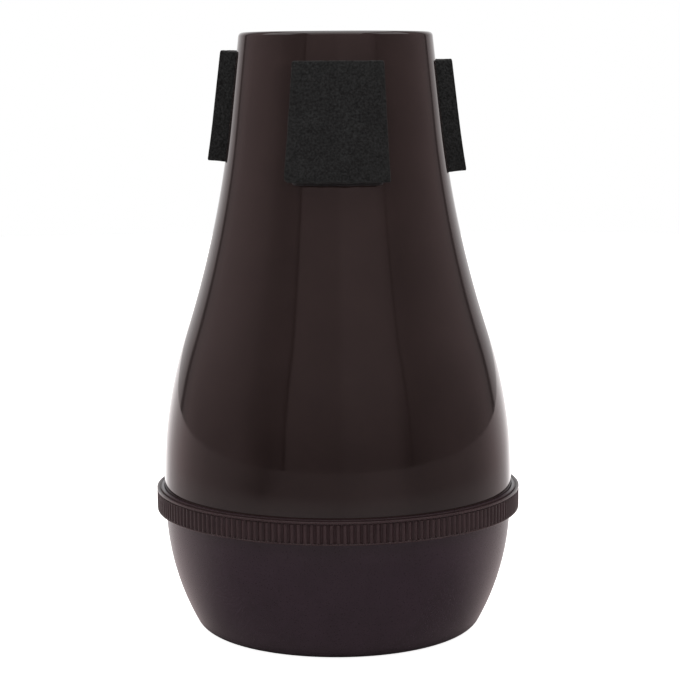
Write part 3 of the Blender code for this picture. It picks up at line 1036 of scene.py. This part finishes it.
def white_paper_sweep():
    """Paper that glows white to the camera. Reflections see it lit as the floor's levels say."""
    material, tree, place = new_material("white_paper_sweep")
    outward = add_node(tree, "ShaderNodeVectorMath", {0: place}, operation="NORMALIZE")
    direction = add_node(tree, "ShaderNodeSeparateXYZ", {"Vector": outward}).outputs
    tables = (both_sides(NEAR_LEVELS), both_sides(MIDDLE_LEVELS))
    near, middle = levels_round(tree, direction, tables, CLOSE_WARMTH)
    far = levels_round(tree, direction, (FAR_LEVELS,), FAR_WARMTH)[0]
    reach = add_node(tree, "ShaderNodeVectorMath", {0: place}, operation="LENGTH").outputs["Value"]
    inner = {"Value": reach, "From Min": NEAR_FLOOR, "From Max": MIDDLE_FLOOR}
    out = add_node(tree, "ShaderNodeMapRange", inner)
    close = add_node(tree, "ShaderNodeMix", {0: out, 6: near, 7: middle}, data_type="RGBA").outputs[2]
    outer = {"Value": reach, "From Min": MIDDLE_FLOOR, "From Max": FAR_FLOOR}
    off = add_node(tree, "ShaderNodeMapRange", outer)
    light = add_node(tree, "ShaderNodeMix", {0: off, 6: close, 7: far}, data_type="RGBA").outputs[2]
    # Painted shadow: reflections see the floor's light dimmed where the mute stands
    patch = {"Value": reach, "From Min": SHADOW_PATCH_REACH[0], "From Max": SHADOW_PATCH_REACH[1], "To Min": SHADOW_PATCH_LEVEL}
    path = add_node(tree, "ShaderNodeLightPath").outputs
    mirrors = {0: path["Is Glossy Ray"], 1: path["Is Transmission Ray"]}
    glow = add_node(tree, "ShaderNodeMath", {0: path["Is Camera Ray"], 1: FLOOR_GLOW}, operation="MULTIPLY")
    lit = {
        0: add_node(tree, "ShaderNodeBsdfDiffuse", {"Color": FLOOR_PAPER}),
        1: add_node(tree, "ShaderNodeEmission", {"Color": WHITE, "Strength": glow}),
    }
    sides = {0: add_node(tree, "ShaderNodeMapRange", patch), 1: brighter_left(tree, direction)}
    mirrored = {"Color": light, "Strength": add_node(tree, "ShaderNodeMath", sides, operation="MULTIPLY")}
    seen = {
        "Fac": add_node(tree, "ShaderNodeMath", mirrors, operation="MAXIMUM"),
        1: add_node(tree, "ShaderNodeAddShader", lit),
        2: add_node(tree, "ShaderNodeEmission", mirrored),
    }
    add_node(tree, "ShaderNodeOutputMaterial", {"Surface": add_node(tree, "ShaderNodeMixShader", seen)})
    return material


class MUTE_OT_stage(bpy.types.Operator):
    """Sets the camera, the soft lights, the pale floor and the white surround"""

    bl_idname = "mute.stage"
    bl_label = "Stage"

    def execute(self, context):
        scene = context.scene
        camera = bpy.data.objects.new("camera", bpy.data.cameras.new("camera"))
        scene.collection.objects.link(camera)
        camera.data.sensor_width = SENSOR
        camera.data.lens = SENSOR * LENS_PIXELS / PHOTO_SIDE
        camera.data.clip_start = 0.01
        yaw = math.atan((PHOTO_SIDE / 2 - AXIS_PIXEL_X) / LENS_PIXELS)
        turn = Matrix.Rotation(-yaw, 4, "Z") @ Matrix.Rotation(math.radians(90) - CAMERA_PITCH, 4, "X")
        camera.matrix_world = Matrix.Translation(CAMERA_PLACE) @ turn @ Matrix.Rotation(-CAMERA_ROLL, 4, "Z")
        scene.camera = camera

        for name, key in KEYS.items():
            soft_panel(name, *key)
        for name, light in NECK_LIGHTS.items():
            neck_light(name, *light)
        scene.world = studio_surround()
        bpy.ops.mesh.primitive_circle_add(
            vertices=FLOOR_SIDES, radius=FLOOR_RADIUS, fill_type="NGON", location=(0.0, 0.0, -FLOOR_DROP)
        )
        floor = context.object
        floor.name = "floor"
        floor.data.materials.append(white_paper_sweep())

        scene.view_settings.view_transform = "Standard"
        return {"FINISHED"}


class MUTE_PT_panel(bpy.types.Panel):
    """Lists the mute's settings and the operators that build it"""

    bl_label = "Straight Mute"
    bl_idname = "MUTE_PT_panel"
    bl_space_type = "VIEW_3D"
    bl_region_type = "UI"
    bl_category = "Mute"

    def draw(self, context):
        for group in (context.scene.mute_shape, context.scene.mute_colours):
            for name in group.__annotations__:
                self.layout.prop(group, name)
        for operator in OPERATORS:
            self.layout.operator(operator.bl_idname)


OPERATORS = (MUTE_OT_stage, MUTE_OT_cone, MUTE_OT_cup, MUTE_OT_band, MUTE_OT_washer, MUTE_OT_pads)
CLASSES = (MuteShapeSettings, MuteColourSettings, *OPERATORS, MUTE_PT_panel)


def register():
    for item in CLASSES:
        bpy.utils.register_class(item)
    bpy.types.Scene.mute_shape = bpy.props.PointerProperty(type=MuteShapeSettings)
    bpy.types.Scene.mute_colours = bpy.props.PointerProperty(type=MuteColourSettings)


def unregister():
    del bpy.types.Scene.mute_colours
    del bpy.types.Scene.mute_shape
    for item in reversed(CLASSES):
        bpy.utils.unregister_class(item)


def main():
    register()
    bpy.ops.mute.stage()
    bpy.ops.mute.cone()
    bpy.ops.mute.cup()
    bpy.ops.mute.band()
    bpy.ops.mute.washer()
    bpy.ops.mute.pads()


if __name__ == "__main__":
    main()
